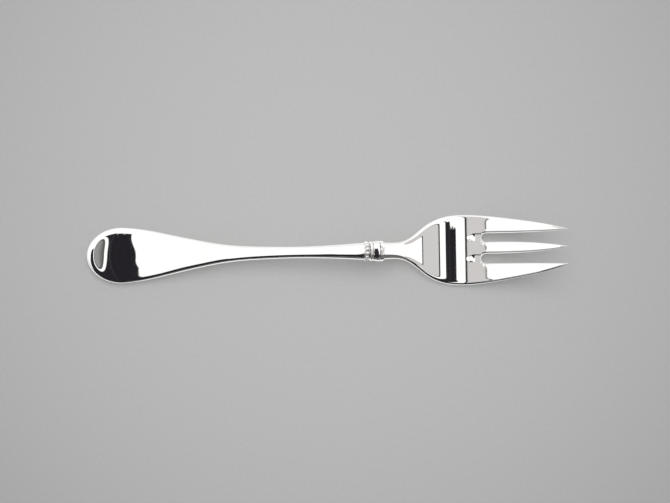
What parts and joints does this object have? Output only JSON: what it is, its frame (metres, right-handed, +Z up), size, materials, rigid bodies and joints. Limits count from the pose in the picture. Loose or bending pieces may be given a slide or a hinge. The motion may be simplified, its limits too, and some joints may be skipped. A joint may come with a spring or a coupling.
{
  "type": "pastry fork",
  "caption": "Pastry fork with slim tapering tines, a hollow filled handle with a broad rounded end, and a collar of turned and beaded rings between them.",
  "frame": {"origin": "on the resting plane, under the middle of the fork's box", "axes": "+X from the handle's end to the tips of the tines, +Y towards the plain tine's side, +Z up from the table"},
  "size_m": [0.15, 0.0218, 0.0114],
  "materials": {
    "head": "mirror-polished silver plate",
    "handle": "mirror-polished silver plate",
    "beads": "polished silver plate, darker between the beads",
    "rings": "polished silver plate, darker in the grooves",
    "filler": "set filler cement, matt"
  },
  "bodies": {
    "root": {"fork_head": "head", "handle_upper_shell": "handle", "handle_lower_shell": "handle", "handle_filler": "filler", "bead_ring": "beads", "wire_ring": "rings", "collar_band": "rings", "lip_ring": "rings"}
  },
  "joints": []
}
